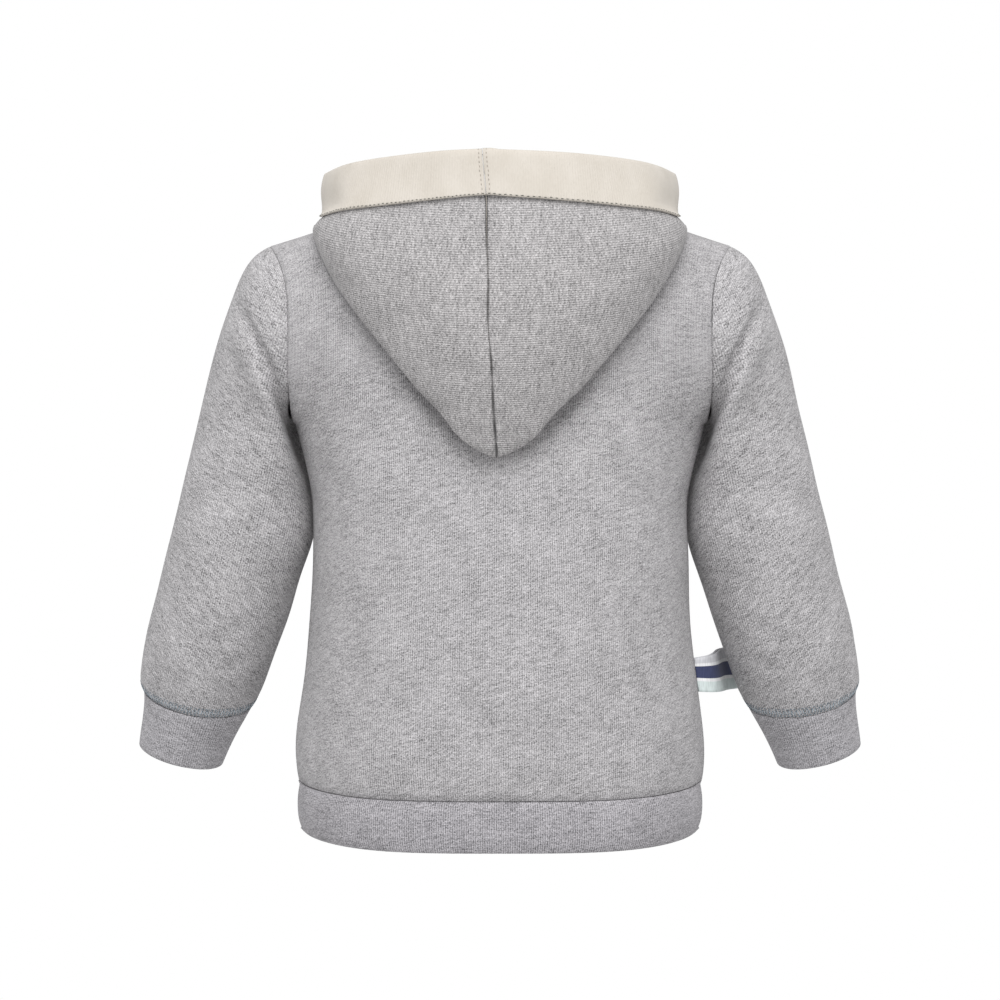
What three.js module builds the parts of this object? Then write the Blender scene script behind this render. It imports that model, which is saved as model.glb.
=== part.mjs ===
// Toddler pullover hoodie in grey melange jersey, filled out as if worn, hood lying down on the back.
// Millimetres, +Z up. The front of the garment faces -Y and the back +Y, the wearer's left is +X.
// The origin is at the middle of the neck, level with the high points of the shoulders.
import * as THREE from 'three';

// Driving dimensions
const wallThickness = 2; // jersey, one layer as built
const seamGap = 0.3; // between two sewn pieces
const neckHalfWidth = 66;
const backNeckDrop = 12;
const frontNeckDrop = 58;
const shoulderPointX = 137.7; // where the shoulder seam meets the sleeve
const shoulderDrop = 23.8;
const underarmX = 121.5;
const underarmZ = -130;
const armholeHalfDepth = 42; // of the armhole loop, front to back
const hemSeamZ = -344;
const archFootZ = -104; // below this height the shoulders no longer narrow the body
const archPower = 2.2;
const sidePower = 3.6; // a flatter back and front than an ellipse
const sideRound = 0.72;
const bandThickness = 1.6;
const bandGap = 0.45; // between the band and the cloth inside its curve
const tabThickness = 1; // striped ribbon, folded in two and caught in the right side seam

// Number of steps
const panelColumns = 20;
const panelRowsBelow = 11; // hem seam to underarm
const sleeveColumns = 24;
const panelRowsAbove = sleeveColumns / 2; // underarm to shoulder, so the panel and sleeve share points
const hoodColumns = panelColumns; // two for each column of a panel's neckline

const colours = { jersey: 0xb5b3b6, hood: 0xaeacad, rib: 0xa5a3a7, cream: 0xe3ddd3, ribbon: 0x4b506e };

// The body, a row for each level: half width at the sides, depth at the back and at the front
const bodyLevels = [
  { z: -344, halfWidth: 121.6, back: 73.5, front: 73.5 },
  { z: -336, halfWidth: 123.2, back: 75.5, front: 76.5 },
  { z: -322, halfWidth: 123.5, back: 76, front: 78 },
  { z: -300, halfWidth: 120.4, back: 75.5, front: 78.5 },
  { z: -280, halfWidth: 116.9, back: 75, front: 78 },
  { z: -250, halfWidth: 114, back: 74, front: 77.5 },
  { z: -200, halfWidth: 112.4, back: 72.5, front: 76 },
  { z: -172, halfWidth: 112.6, back: 71, front: 74 },
  { z: -150, halfWidth: 116.6, back: 70.5, front: 72 },
  { z: -130, halfWidth: 121.5, back: 70, front: 70.5 },
  { z: -105, halfWidth: 134, back: 68.5, front: 68 },
  { z: -70, halfWidth: 147, back: 66, front: 65 },
  { z: -30, halfWidth: 150, back: 63, front: 62 },
  { z: 30, halfWidth: 150, back: 60, front: 60 },
];

// Hem band, a row for each level
const hemLevels = [
  { z: -344.3, halfWidth: 121.6, back: 73.5, front: 73.5 },
  { z: -349, halfWidth: 123, back: 74.8, front: 75 },
  { z: -359, halfWidth: 123.5, back: 75.2, front: 75.4 },
  { z: -368.5, halfWidth: 122.4, back: 75, front: 75.2 },
  { z: -372.8, halfWidth: 119.6, back: 73.2, front: 73.4 },
];

// Sleeve, a row for each ring: its point nearest the body, its point furthest out, half its depth,
// how far it is carried forward, and how much lower its back is than its front
const sleeveRings = [
  { innerX: 121.5, innerZ: -130, outerX: 137.7, outerZ: -23.8, depth: 42, forward: 0, tilt: 0 },
  { innerX: 123.2, innerZ: -135, outerX: 147.4, outerZ: -28.6, depth: 42.4, forward: 0.5, tilt: 0 },
  { innerX: 121.6, innerZ: -143, outerX: 155.4, outerZ: -39.8, depth: 42.6, forward: 2, tilt: 0 },
  { innerX: 118.8, innerZ: -154, outerX: 161.4, outerZ: -54, depth: 42.4, forward: 5, tilt: 0 },
  { innerX: 115.4, innerZ: -167, outerX: 168, outerZ: -71, depth: 42, forward: 8.5, tilt: 0 },
  { innerX: 113, innerZ: -180, outerX: 174.6, outerZ: -92, depth: 41.2, forward: 11.5, tilt: 1 },
  { innerX: 112.2, innerZ: -192, outerX: 180.8, outerZ: -117, depth: 40.4, forward: 13, tilt: 2 },
  { innerX: 114, innerZ: -204, outerX: 186.8, outerZ: -142, depth: 39.6, forward: 13, tilt: 4 },
  { innerX: 118.2, innerZ: -216, outerX: 193, outerZ: -168, depth: 38.8, forward: 13, tilt: 6 },
  { innerX: 123, innerZ: -229, outerX: 199.2, outerZ: -193, depth: 38.2, forward: 14, tilt: 8 },
  { innerX: 127.6, innerZ: -243, outerX: 205.8, outerZ: -218, depth: 37.6, forward: 16, tilt: 10 },
  { innerX: 132.8, innerZ: -258, outerX: 212.4, outerZ: -241, depth: 36.8, forward: 19, tilt: 12.5 },
  { innerX: 138.4, innerZ: -273, outerX: 217.8, outerZ: -262, depth: 36, forward: 22.5, tilt: 15 },
  { innerX: 144, innerZ: -287, outerX: 221, outerZ: -278, depth: 34.6, forward: 25.5, tilt: 17 },
  { innerX: 148.6, innerZ: -297, outerX: 221.8, outerZ: -286, depth: 33, forward: 27.8, tilt: 17 },
  { innerX: 152.4, innerZ: -302.5, outerX: 219.6, outerZ: -290, depth: 31.4, forward: 29.4, tilt: 17 },
];

const cuffRings = [
  { innerX: 152.5, innerZ: -302.8, outerX: 219.65, outerZ: -290.3, depth: 31.4, forward: 29.5, tilt: 17 },
  { innerX: 158, innerZ: -312, outerX: 219.8, outerZ: -298, depth: 30, forward: 32, tilt: 15.5 },
  { innerX: 163.8, innerZ: -323, outerX: 221.4, outerZ: -308, depth: 28.8, forward: 35, tilt: 13 },
  { innerX: 169.2, innerZ: -334.5, outerX: 223.6, outerZ: -319, depth: 27.8, forward: 38.5, tilt: 11 },
  { innerX: 172.8, innerZ: -343.4, outerX: 225, outerZ: -327.6, depth: 27, forward: 41, tilt: 10 },
];

// Creases of the sleeve: place round the ring (180 is the outer side, 90 the back) and along it
// in rings, the drift round the ring for each ring, half length, half width and depth
const sleeveCreases = [
  { around: 118, ring: 4.4, drift: -13, halfLength: 3.2, halfWidth: 13, depth: 3.2 },
  { around: 60, ring: 8.2, drift: 12, halfLength: 2.2, halfWidth: 14, depth: 2.2 },
  { around: 300, ring: 7.6, drift: 12, halfLength: 2.4, halfWidth: 15, depth: 3 },
  { around: 322, ring: 10.2, drift: 14, halfLength: 2, halfWidth: 14, depth: 2.6 },
  { around: 250, ring: 12.2, drift: 10, halfLength: 1.4, halfWidth: 18, depth: 1.8 },
];

// Soft folds of the body: distance from the centre line at the foot and at the top
const bodyFolds = [
  { side: 1, footX: 92, topX: 78, footZ: -338, topZ: -230, halfWidth: 12, depth: 2.2 },
  { side: 1, footX: 52, topX: 60, footZ: -340, topZ: -262, halfWidth: 11, depth: 1.2 },
  { side: 1, footX: 100, topX: 60, footZ: -150, topZ: -118, halfWidth: 12, depth: 1.6 },
  { side: -1, footX: 88, topX: 74, footZ: -338, topZ: -220, halfWidth: 13, depth: 2.4 },
  { side: -1, footX: 46, topX: 54, footZ: -340, topZ: -270, halfWidth: 12, depth: 1.4 },
  { side: -1, footX: 104, topX: 58, footZ: -152, topZ: -108, halfWidth: 12, depth: 2.2 },
];

// Hood, a row for each section from the centre front (0) round the neck to the centre back (1):
// x, y, z of the low fold line, of the outer layer's swell above it, and of the face edge
const hoodSections = [
  { u: 0, fold: [0, -68, -47.5], swell: [0, -73.5, -41], edge: [0, -76.5, -30] },
  { u: 0.17, fold: [54, -67, -45], swell: [58, -74, -35], edge: [55, -73, -13] },
  { u: 0.33, fold: [95, -38, -31], swell: [99, -43, -20], edge: [91, -44, 7] },
  { u: 0.5, fold: [106, 7, -17], swell: [109, 7, -10], edge: [103, -2, 19] },
  { u: 0.62, fold: [102, 36, -35], swell: [106.5, 43, -23], edge: [98.5, 31, 15.5] },
  { u: 0.75, fold: [86, 63, -65], swell: [89, 76, -36], edge: [81.5, 61, 15] },
  { u: 0.87, fold: [51, 79, -108], swell: [49, 96.5, -60], edge: [47, 84, 15] },
  { u: 0.95, fold: [20, 80.5, -145], swell: [19, 103, -80], edge: [18, 94, 15] },
  { u: 1, fold: [0, 79, -153.5], swell: [0, 103.5, -88], edge: [0, 96, 15] },
];

// Cream hood band, from the face edge to its stitching
const bandHeights = [
  { u: 0, height: 27 },
  { u: 0.33, height: 28 },
  { u: 0.5, height: 28.5 },
  { u: 0.62, height: 32 },
  { u: 0.75, height: 32 },
  { u: 0.87, height: 29.5 },
  { u: 1, height: 26.5 },
];

// Ribbon tab, a row for each place along it: distance out and forward of the side seam,
// lower and upper edge, and how far its two layers stand apart
const tabPlaces = [
  { s: 0, out: 0, forward: 2, low: -290, high: -269.8, apart: 1.6 },
  { s: 0.25, out: 9.5, forward: 8, low: -291, high: -269, apart: 1.9 },
  { s: 0.5, out: 16, forward: 22, low: -292, high: -268.2, apart: 2.2 },
  { s: 0.75, out: 20.5, forward: 39, low: -293, high: -267.6, apart: 2.4 },
  { s: 1, out: 30, forward: 53, low: -293.6, high: -267.4, apart: 2.6 },
];
const tabSeat = 0.5; // from the side seam, which it follows up and down
const tabSteps = 8;
const tabRows = 3;

const vec = (x, y, z) => new THREE.Vector3(x, y, z);
const lerp = THREE.MathUtils.lerp;
const clamp = THREE.MathUtils.clamp;
const radians = THREE.MathUtils.degToRad;

// A smooth curve through one column of a table, read at any value of its first column
function column(rows, along, name) {
  const slopeAt = (i) => {
    const before = rows[Math.max(i - 1, 0)];
    const after = rows[Math.min(i + 1, rows.length - 1)];
    return (after[name] - before[name]) / (after[along] - before[along]);
  };
  return (value) => {
    let i = 0;
    while (i < rows.length - 2 && value > rows[i + 1][along]) i += 1;
    const span = rows[i + 1][along] - rows[i][along];
    const s = clamp((value - rows[i][along]) / span, 0, 1);
    const start = (1 + 2 * s) * (1 - s) ** 2 * rows[i][name] + s * (1 - s) ** 2 * span * slopeAt(i);
    const end = s * s * (3 - 2 * s) * rows[i + 1][name] + s * s * (s - 1) * span * slopeAt(i + 1);
    return start + end;
  };
}

// A closed solid between an outer grid of points and the same grid moved in by the wall
function wallGeometry(outer, inner, closedAround) {
  const rows = outer.length;
  const columns = outer[0].length;
  const points = [...outer.flat(), ...inner.flat()];
  const layer = rows * columns;
  const triangles = [];
  const at = (r, c) => r * columns + (c % columns);
  const span = (a, b) => points[a].distanceToSquared(points[b]);
  const quad = (a, b, c, d) => triangles.push([a, b, c], [a, c, d]);
  const shortSplit = (a, b, c, d) => (span(a, c) < span(b, d) ? [a, b, c, d] : [b, c, d, a]);
  const lastColumn = closedAround ? columns : columns - 1;
  for (let r = 0; r < rows - 1; r += 1) {
    for (let c = 0; c < lastColumn; c += 1) {
      const [i, j, k, l] = shortSplit(at(r, c), at(r, c + 1), at(r + 1, c + 1), at(r + 1, c));
      quad(i, j, k, l);
      quad(layer + i, layer + l, layer + k, layer + j);
    }
  }
  const rim = (a, b) => quad(...shortSplit(a, b, layer + b, layer + a));
  for (let c = 0; c < lastColumn; c += 1) {
    rim(at(0, c + 1), at(0, c));
    rim(at(rows - 1, c), at(rows - 1, c + 1));
  }
  if (!closedAround) {
    for (let r = 0; r < rows - 1; r += 1) {
      rim(at(r, 0), at(r + 1, 0));
      rim(at(r + 1, columns - 1), at(r, columns - 1));
    }
  }
  return solidFrom(points, triangles);
}

// Faces are turned round if they point inwards
function solidFrom(points, triangles) {
  let volume = 0;
  for (const [a, b, c] of triangles) {
    volume += points[a].dot(points[b].clone().cross(points[c])) / 6;
  }
  const faces = volume > 0 ? triangles : triangles.map(([a, b, c]) => [a, c, b]);
  const geometry = new THREE.BufferGeometry();
  geometry.setAttribute('position', new THREE.Float32BufferAttribute(points.flatMap((p) => p.toArray()), 3));
  geometry.setIndex(faces.flat());
  geometry.computeVertexNormals();
  return geometry;
}

// Unit normals of a grid, on the side that `outward` points to at its middle
function gridNormals(grid, closedAround, outward) {
  const rows = grid.length;
  const columns = grid[0].length;
  const normals = grid.map((row, r) => row.map((_, c) => {
    const below = grid[Math.max(r - 1, 0)][c];
    const above = grid[Math.min(r + 1, rows - 1)][c];
    const left = closedAround ? row[(c + columns - 1) % columns] : row[Math.max(c - 1, 0)];
    const right = closedAround ? row[(c + 1) % columns] : row[Math.min(c + 1, columns - 1)];
    return right.clone().sub(left).cross(above.clone().sub(below)).normalize();
  }));
  const middle = normals[rows >> 1][columns >> 1];
  if (middle.dot(outward) < 0) normals.flat().forEach((n) => n.negate());
  return normals;
}

const inwards = (grid, normals, distance) =>
  grid.map((row, r) => row.map((p, c) => p.clone().addScaledVector(normals[r][c], -distance)));

const mirrorX = (grid) => grid.map((row) => row.map((p) => vec(-p.x, p.y, p.z)));

// The body's surface

const bodyHalfWidth = column(bodyLevels, 'z', 'halfWidth');
const bodyDepth = { back: column(bodyLevels, 'z', 'back'), front: column(bodyLevels, 'z', 'front') };
const shoulderSlope = shoulderDrop / (shoulderPointX - neckHalfWidth);
const shoulderZ = (x) => (neckHalfWidth - Math.abs(x)) * shoulderSlope;

function sideFactor(x, halfWidth) {
  return (1 - Math.min(Math.abs(x) / halfWidth, 1) ** sidePower) ** sideRound;
}

function foldDepth(side, x, z) {
  let sum = 0;
  for (const fold of bodyFolds.filter((f) => f.side === side)) {
    const along = (z - fold.footZ) / (fold.topZ - fold.footZ);
    const fade = along > 0 && along < 1 ? Math.sin(Math.PI * along) : 0;
    const across = (Math.abs(x) - lerp(fold.footX, fold.topX, along)) / fold.halfWidth;
    sum += fold.depth * fade * Math.exp(-across * across);
  }
  return sum;
}

// Distance of the surface from the plane of the side seams
function bodySurface(face, x, z) {
  const arch = clamp((z - archFootZ) / (shoulderZ(x) - archFootZ), 0, 1);
  const archFactor = (1 - arch ** archPower) ** (1 / archPower);
  const side = face === 'back' ? 1 : -1;
  const depth = bodyDepth[face](z) * sideFactor(x, bodyHalfWidth(z)) * archFactor;
  return Math.max(depth - foldDepth(side, x, z), 0);
}

// Armhole seam: turn 0 is the underarm, 0.5 the shoulder point, first half at the back
const armholeMiddleZ = (underarmZ - shoulderDrop) / 2;
const armholeHalfHeight = (-shoulderDrop - underarmZ) / 2;
const armholeLeanStartZ = -70; // above this height the seam leans out to the shoulder point
const armholeLeanPower = 2.5;
const armholeOffset = 0.5; // of the seam from the underarm point

function armholeX(z) {
  const lean = clamp((z - armholeLeanStartZ) / (-shoulderDrop - armholeLeanStartZ), 0, 1);
  return lerp(underarmX + armholeOffset, shoulderPointX, lean ** armholeLeanPower);
}

function armholePoint(turn) {
  const angle = 2 * Math.PI * turn;
  const z = armholeMiddleZ - armholeHalfHeight * Math.cos(angle);
  return vec(armholeX(z), armholeHalfDepth * Math.sin(angle), z);
}

function armholeNormal(turn) {
  const angle = 2 * Math.PI * turn;
  return vec(0, armholeHalfHeight * Math.sin(angle), -armholeHalfDepth * Math.cos(angle)).normalize();
}

// Front and back panels

const neckShare = 0.5; // share of the panel's half width in columns that ends at the neckline
const neckCurves = {
  back: { drop: backNeckDrop, power: 2.2, round: 1 },
  front: { drop: frontNeckDrop, power: 1.8, round: 1.1 },
};

function neckEdge(face, share) {
  const { drop, power, round } = neckCurves[face];
  const reach = Math.sin((Math.PI / 2) * share);
  return { x: neckHalfWidth * reach, z: -drop * (1 - reach ** power) ** round };
}

function topEdge(face, u) {
  const share = Math.abs(u);
  if (share <= neckShare) return neckEdge(face, share / neckShare);
  const x = lerp(neckHalfWidth, shoulderPointX, (share - neckShare) / (1 - neckShare));
  return { x, z: shoulderZ(x) };
}

// Columns stand closer together towards the side seams, where the body turns
const sideCrowding = 0.55;
const columnSpread = (u) => lerp(u, Math.sin((Math.PI / 2) * u), sideCrowding);

function panelGrid(face) {
  const side = face === 'back' ? 1 : -1;
  const grid = [];
  const us = Array.from({ length: panelColumns + 1 }, (_, c) => -1 + (2 * c) / panelColumns);
  for (let r = 0; r < panelRowsBelow; r += 1) {
    const z = lerp(hemSeamZ + seamGap / 2, underarmZ, r / panelRowsBelow);
    grid.push(us.map((u) => {
      const x = columnSpread(u) * bodyHalfWidth(z);
      return vec(x, side * (seamGap / 2 + bodySurface(face, x, z)), z);
    }));
  }
  for (let r = 0; r <= panelRowsAbove; r += 1) {
    const v = r / panelRowsAbove;
    const seam = armholePoint(v / 2);
    const seamX = r === 0 ? underarmX : seam.x;
    grid.push(us.map((u) => {
      const top = topEdge(face, u);
      const edge = Math.abs(u);
      const rise = lerp(v, (1 - Math.cos(Math.PI * v)) / 2, edge ** 3);
      const z = lerp(underarmZ, top.z, rise);
      const share = lerp(Math.abs(columnSpread(u)), top.x / shoulderPointX, v);
      const x = Math.sign(u) * (share * seamX - (edge === 1 ? seamGap / 2 : 0));
      const pull = seam.y - bodySurface(face, seamX, z);
      const edgeShare = edge ** 6 * (v < 1 ? 1 : 0);
      return vec(x, side * (seamGap / 2 + Math.max(bodySurface(face, x, z) + pull * edgeShare, 0)), z);
    }));
  }
  return grid;
}

function panelNormals(face, grid) {
  const side = face === 'back' ? 1 : -1;
  const normals = gridNormals(grid, false, vec(0, side, 0));
  const top = grid.length - 1;
  for (const [c, sign] of [[0, -1], [panelColumns, 1]]) {
    for (let r = 0; r < panelRowsBelow; r += 1) normals[r][c] = vec(sign, 0, 0);
    for (let r = 1; r <= panelRowsAbove; r += 1) {
      const n = armholeNormal((side * r) / panelRowsAbove / 2);
      normals[panelRowsBelow + r][c] = n;
    }
    normals[panelRowsBelow][c] = vec(sign, 0, -1).normalize();
  }
  for (let c = 1; c < panelColumns; c += 1) {
    normals[0][c].setZ(0).normalize();
    const u = -1 + (2 * c) / panelColumns;
    if (Math.abs(u) >= neckShare - 1e-6) {
      normals[top][c] = vec(Math.sign(u) * shoulderSlope, 0, 1).normalize();
    }
  }
  return normals;
}

// Sleeves and cuffs

const outFromBody = vec(1, 0, 0.3); // the way the middle column of a ring faces
const armholeShares = [1, 0.55, 0.2]; // how far the first rings keep to the armhole's curve

function ringPoint(ring, angle) {
  const across = Math.cos(angle);
  const x = lerp(ring.outerX, ring.innerX, (1 + across) / 2);
  const z = lerp(ring.outerZ, ring.innerZ, (1 + across) / 2);
  const deep = ring.depth * Math.sin(angle);
  const tilt = radians(ring.tilt);
  return vec(x, deep * Math.cos(tilt) - ring.forward, z - deep * Math.sin(tilt));
}

function ringGrid(rings) {
  return rings.map((ring) => Array.from({ length: sleeveColumns }, (_, c) =>
    ringPoint(ring, (2 * Math.PI * c) / sleeveColumns)));
}

// The first ring is the armhole seam itself, and the next two take part of its curve
function followArmhole(grid) {
  armholeShares.forEach((share, r) => grid[r].forEach((p, c) => {
    const turn = c / sleeveColumns;
    const offset = armholePoint(turn).sub(ringPoint(sleeveRings[0], 2 * Math.PI * turn));
    p.addScaledVector(offset, share);
    if (r === 0) p.x += seamGap / 2;
  }));
}

function addCreases(grid, normals) {
  grid.forEach((row, r) => row.forEach((p, c) => {
    const around = (360 * c) / sleeveColumns;
    for (const crease of sleeveCreases) {
      const along = (r - crease.ring) / crease.halfLength;
      const place = crease.around + crease.drift * (r - crease.ring);
      const turnOff = ((around - place + 540) % 360) - 180;
      const across = turnOff / crease.halfWidth;
      const fade = Math.abs(along) < 1 ? Math.cos((Math.PI / 2) * along) ** 2 : 0;
      p.addScaledVector(normals[r][c], -crease.depth * fade * Math.exp(-across * across));
    }
  }));
}

function ringEdgeNormals(ringRow) {
  const middle = ringRow.reduce((sum, p) => sum.add(p), vec(0, 0, 0)).divideScalar(ringRow.length);
  return ringRow.map((p) => p.clone().sub(middle).normalize());
}

function sleeveWall() {
  const grid = ringGrid(sleeveRings);
  followArmhole(grid);
  addCreases(grid, gridNormals(grid, true, outFromBody));
  const normals = gridNormals(grid, true, outFromBody);
  normals[0] = grid[0].map((_, c) => armholeNormal(c / sleeveColumns));
  normals[normals.length - 1] = ringEdgeNormals(grid.at(-1));
  return { outer: grid, inner: inwards(grid, normals, wallThickness) };
}

function cuffWall() {
  const grid = ringGrid(cuffRings);
  const normals = gridNormals(grid, true, outFromBody);
  normals[0] = ringEdgeNormals(grid[0]);
  normals[normals.length - 1] = ringEdgeNormals(grid.at(-1));
  return { outer: grid, inner: inwards(grid, normals, wallThickness) };
}

// Hem band, a ring whose columns follow those of the two panels

function hemWall() {
  const grid = hemLevels.map((level) => {
    const row = [];
    for (let c = 0; c < 2 * panelColumns; c += 1) {
      const back = c < panelColumns;
      const u = back ? -1 + (2 * c) / panelColumns : 3 - (2 * c) / panelColumns;
      const x = columnSpread(u) * level.halfWidth;
      const depth = (back ? level.back : -level.front) * sideFactor(x, level.halfWidth);
      row.push(vec(x, depth, level.z));
    }
    return row;
  });
  const normals = gridNormals(grid, true, vec(1, 0, 0));
  for (const row of normals) row.forEach((n) => n.setZ(0).normalize());
  return { outer: grid, inner: inwards(grid, normals, wallThickness) };
}

// Hood: each cross section runs from the neckline up, rolls over, goes down to the fold
// and comes up again to the face edge

function hoodPoint(name, u) {
  const place = (axis) => {
    const rows = hoodSections.map((section) => ({ u: section.u, value: section[name][axis] }));
    return column(rows, 'u', 'value')(u);
  };
  return vec(place(0), place(1), place(2));
}

const rollHeight = 9; // of the hood's roll over the neckline
const rollReach = 9; // how far the roll stands out from the neckline
const foldRadius = 7;
const foldStart = 0.02; // of u: nearer the centre front the hood has no fold
const foldWhole = 0.42; // of u: from here on the fold has its whole radius
const hoodClearance = 1; // from the panels it lies on
const panelReach = 20; // points further than this from a panel are not moved clear of it
const stepsPerStretch = [1, 2, 2, 2, 3, 2, 2, 3]; // from the neckline to the swell

// The panels' neckline at a section of the hood: its point, the way the panel faces there,
// and the way out of the panel's edge, towards the neck
const neckMiddle = vec(0, 0, 20);

function neckFrame(u, panels) {
  const { grid, normals } = panels.find((p) => p.face === (u < 0.5 ? 'front' : 'back'));
  const share = u < 0.5 ? u / 0.5 : (1 - u) / 0.5;
  const middle = panelColumns / 2;
  const corner = middle * (1 + neckShare);
  const place = middle + (corner - middle) * share;
  const c = Math.min(Math.floor(place + 1e-9), corner);
  const mix = (value) => value(c).clone().lerp(value(Math.min(c + 1, corner)), Math.max(place - c, 0));
  const edge = grid.at(-1);
  const point = mix((i) => edge[i]);
  const normal = mix((i) => normals.at(-1)[i]).normalize();
  const tangent = mix((i) => edge[Math.min(i + 1, corner)].clone().sub(edge[Math.max(i - 1, middle)]));
  const away = tangent.cross(normal).normalize();
  if (away.dot(neckMiddle.clone().sub(point)) < 0) away.negate();
  return { point, normal, away };
}

// Moves a point out along the nearest panel normals until it is clear of the panel
function clearOfPanels(point, panels, distance) {
  for (const { grid, normals } of panels) {
    let nearest = Infinity;
    let push = null;
    grid.forEach((row, r) => row.forEach((p, c) => {
      const away = point.distanceToSquared(p);
      if (away < nearest) {
        nearest = away;
        push = { p, n: normals[r][c] };
      }
    }));
    const gap = point.clone().sub(push.p).dot(push.n);
    if (nearest < panelReach ** 2 && gap < distance) point.addScaledVector(push.n, distance - gap);
  }
  return point;
}

function hoodSection(u, panels) {
  const { point: neck, away } = neckFrame(u, panels);
  const fold = hoodPoint('fold', u);
  const swell = hoodPoint('swell', u);
  const edge = hoodPoint('edge', u);
  const along = hoodPoint('fold', Math.min(u + 0.04, 1)).sub(hoodPoint('fold', Math.max(u - 0.04, 0)));
  const out = vec(along.y, -along.x, 0); // square to the fold line, away from the neck
  if (u < 1e-6 || u > 1 - 1e-6) out.setX(0);
  out.normalize();
  const reach = THREE.MathUtils.smoothstep(u, foldStart, foldWhole);
  const from = (base, outward, up) => base.clone().addScaledVector(out, outward).add(vec(0, 0, up));
  const start = neck.clone().addScaledVector(away, seamGap);
  const stand = from(neck, 0.8, lerp(3, 6, reach));
  const roll = from(neck, lerp(2.5, rollReach * 0.55, reach), lerp(5.5, rollHeight, reach));
  const over = from(neck, lerp(4.5, rollReach + 2, reach), lerp(7.5, rollHeight - 5, reach));
  const down = over.clone().lerp(fold, 0.45);
  const foldIn = over.clone().lerp(fold, 0.8).lerp(from(fold, -foldRadius * 0.5, foldRadius), reach);
  const foldOut = fold.clone().lerp(swell, 0.5).lerp(from(fold, foldRadius * 0.7, foldRadius), reach);
  [over, down, foldIn, fold].forEach((p) => clearOfPanels(p, panels, hoodClearance));
  return [start, stand, roll, over, down, foldIn, fold, foldOut, swell, edge];
}

const bandHeightAt = column(bandHeights, 'u', 'height');
const hoodUs = Array.from({ length: hoodColumns + 1 }, (_, c) => c / hoodColumns);
const bandSteps = 5;
const turnSteps = 4; // of a cloth's half turn over its edge
const innerLegSteps = 2; // of the band's steps, down the inside
const rowsInStand = 4;
const rowsToFold = 15;
const stepsBelowBand = 2; // from the swell of the outer layer to the band's stitching
const bandShareMost = 0.75; // of a short section at the centre front
const swellShareMost = 0.94; // of the way to the band, where a section's swell may stand
const curveSamples = 400;
const edgeInset = bandThickness + bandGap + wallThickness / 2; // the band wraps over the cloth's edge by this

// Sections are cut at the middle seam by half the seam's gap, at the front and at the back
function atSeam(row, u) {
  if (u < 1e-6 || u > 1 - 1e-6) row.forEach((p) => p.setX(seamGap / 2));
  return row;
}

// A section's points: along each stretch up to the swell, then to the band, then the band's own steps
function hoodRow(u, panels) {
  const curve = new THREE.CatmullRomCurve3(hoodSection(u, panels), false, 'centripetal');
  curve.arcLengthDivisions = curveSamples;
  const length = curve.getLength();
  const cover = Math.min(bandHeightAt(u), bandShareMost * length);
  const atDistance = (distance) => curve.getUtoTmapping(1 - distance / length);
  const stretches = curve.points.length - 1;
  const swell = (stretches - 1) / stretches;
  const foot = Math.min(1, (swellShareMost * atDistance(cover)) / swell);
  const row = [];
  stepsPerStretch.forEach((steps, i) => {
    for (let s = 0; s < steps; s += 1) row.push(curve.getPoint((foot * (i + s / steps)) / stretches));
  });
  for (let s = 0; s < stepsBelowBand; s += 1) {
    row.push(curve.getPoint(lerp(foot * swell, atDistance(cover), s / stepsBelowBand)));
  }
  for (let s = 0; s <= bandSteps; s += 1) {
    row.push(curve.getPoint(atDistance(lerp(cover, edgeInset, s / bandSteps))));
  }
  row.slice(rowsInStand, rowsToFold).forEach((p) => clearOfPanels(p, panels, hoodClearance));
  return atSeam(row, u);
}

function hoodNormals(grid, panels) {
  const normals = gridNormals(grid, false, vec(0, 0, 0));
  const last = grid.length - 1;
  const top = grid[0].length - 1;
  if (normals[last][top].y < 0) normals.flat().forEach((n) => n.negate());
  for (const r of [0, last]) normals[r].forEach((n) => n.setX(0).normalize());
  normals.forEach((row, r) => {
    row[0] = neckFrame(hoodUs[r], panels).normal;
  });
  return normals;
}

function hoodPieces(panels) {
  const grid = hoodUs.map((u) => hoodRow(u, panels));
  const normals = hoodNormals(grid, panels);
  return {
    hood: { outer: grid, inner: inwards(grid, normals, wallThickness) },
    band: bandWall(grid, normals),
  };
}

// Cream band: up the outside of the hood, over its edge and a little way down inside
function bandWall(grid, hoodNormalsGrid) {
  const lie = bandGap + bandThickness;
  const outer = [];
  const inner = [];
  grid.forEach((section, r) => {
    const row = section.slice(-bandSteps - 1);
    const normals = hoodNormalsGrid[r].slice(-bandSteps - 1);
    const outerRow = [];
    const innerRow = [];
    const put = (base, n, distance) => {
      outerRow.push(base.clone().addScaledVector(n, distance));
      innerRow.push(base.clone().addScaledVector(n, distance - bandThickness));
    };
    row.forEach((p, c) => put(p, normals[c], lie));
    const n = normals[bandSteps];
    const up = row[bandSteps].clone().sub(row[bandSteps - 1]);
    up.addScaledVector(n, -up.dot(n)).normalize();
    const middle = row[bandSteps].clone().addScaledVector(n, -wallThickness / 2);
    for (let s = 1; s <= turnSteps; s += 1) {
      const angle = (Math.PI * s) / turnSteps;
      const away = n.clone().multiplyScalar(Math.cos(angle)).addScaledVector(up, Math.sin(angle));
      put(middle, away, lie + wallThickness / 2);
    }
    for (let s = 1; s <= innerLegSteps; s += 1) {
      const back = bandSteps - s;
      const p = row[back].clone().addScaledVector(normals[back], -wallThickness);
      put(p, normals[back].clone().negate(), lie);
    }
    outer.push(atSeam(outerRow, hoodUs[r]));
    inner.push(atSeam(innerRow, hoodUs[r]));
  });
  return { outer, inner };
}

// Ribbon tab: out along one layer, round the fold and back along the other

const tabColumn = {};
for (const name of Object.keys(tabPlaces[0])) tabColumn[name] = column(tabPlaces, 's', name);

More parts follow.
